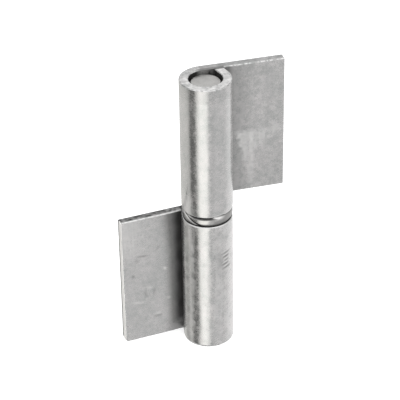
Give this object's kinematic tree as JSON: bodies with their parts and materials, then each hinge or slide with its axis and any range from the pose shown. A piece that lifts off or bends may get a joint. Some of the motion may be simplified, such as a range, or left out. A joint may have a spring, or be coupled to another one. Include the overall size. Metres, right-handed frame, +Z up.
{
  "type": "lift-off flag hinge",
  "caption": "Weld-on steel flag hinge: two sheet leaves rolled round one pin, with a split ring between the knuckles; the door half turns on the pin and lifts off it.",
  "frame": {"origin": "on the pin's axis, at the flat lower end of the hinge", "axes": "+Z up along the pin, towards the door half; the frame leaf reaches towards -X and its weld face looks along +Y"},
  "size_m": [0.047, 0.014, 0.082],
  "materials": {
    "rolled_sheet_steel": "bare cold-rolled sheet, satin, with rolling streaks and handling marks",
    "pin_steel": "drawn bar, satin, sawn end face",
    "ring_steel": "bent bar, satin, rounded edges"
  },
  "bodies": {
    "frame_half": {"frame_leaf": "rolled_sheet_steel", "pin": "pin_steel"},
    "wear_ring": {"split_ring": "ring_steel"},
    "door_half": {"door_leaf": "rolled_sheet_steel"}
  },
  "joints": [
    {"name": "swing", "type": "hinge", "parent": "frame_half", "child": "wear_ring", "pos_m": [0, 0, 0.0415], "axis": [0, 0, 1], "continuous": true},
    {"name": "lift_off", "type": "slide", "parent": "wear_ring", "child": "door_half", "axis": [0, 0, 1], "range_m": [0, 0.04]}
  ]
}
